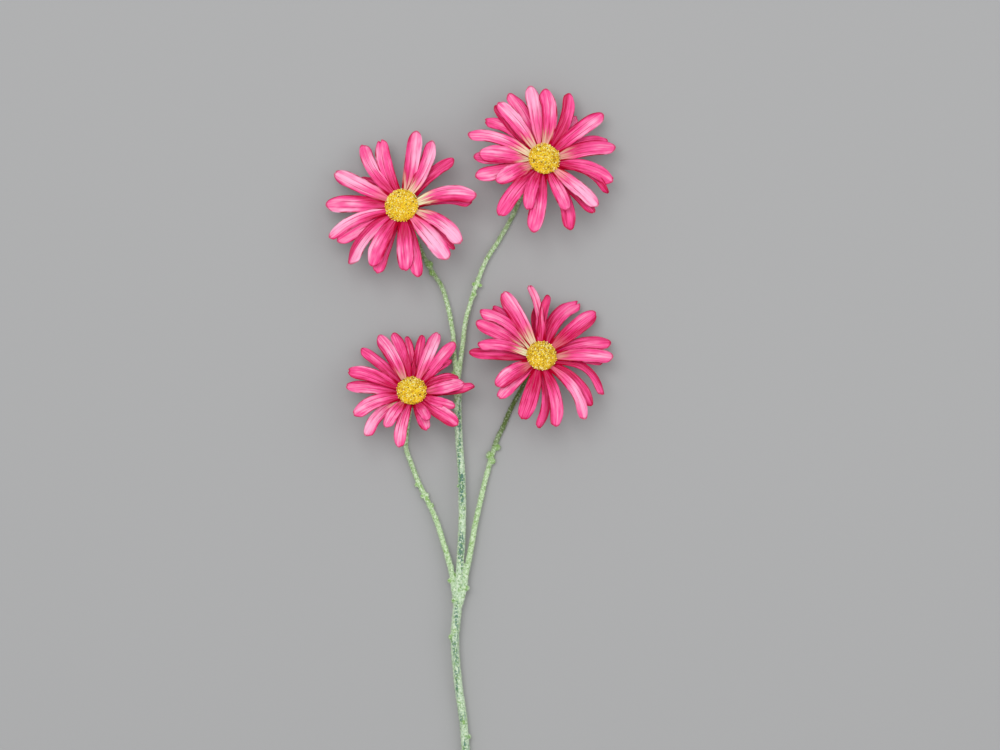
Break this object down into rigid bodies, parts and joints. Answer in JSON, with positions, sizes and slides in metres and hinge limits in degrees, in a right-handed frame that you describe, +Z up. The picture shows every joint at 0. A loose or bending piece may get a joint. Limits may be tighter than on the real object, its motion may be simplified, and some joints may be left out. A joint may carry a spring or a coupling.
{
  "type": "artificial daisy spray",
  "caption": "Artificial daisy spray: overlapping pink strap petals round yellow floret discs, on green calyces and a forked, flocked stem that lies on a flat surface.",
  "frame": {"origin": "middle of the bounding box's underside, on the surface that the spray lies on", "axes": "+Z up from the surface, +Y along the stem from its cut end to the heads, +X to the right as seen from above"},
  "size_m": [0.1314, 0.4, 0.0309],
  "materials": {
    "stem": "flocked, mottled pale green",
    "calyx": "matt green",
    "petals": "pressed printed fabric, pink with deeper roots and pale tips",
    "disc": "granular, matt yellow"
  },
  "bodies": {
    "root": {"stem": "stem", "calyx_top_left": "calyx", "petals_top_left": "petals", "disc_top_left": "disc", "calyx_top_right": "calyx", "petals_top_right": "petals", "disc_top_right": "disc", "calyx_lower_left": "calyx", "petals_lower_left": "petals", "disc_lower_left": "disc", "calyx_middle_right": "calyx", "petals_middle_right": "petals", "disc_middle_right": "disc"}
  },
  "joints": []
}
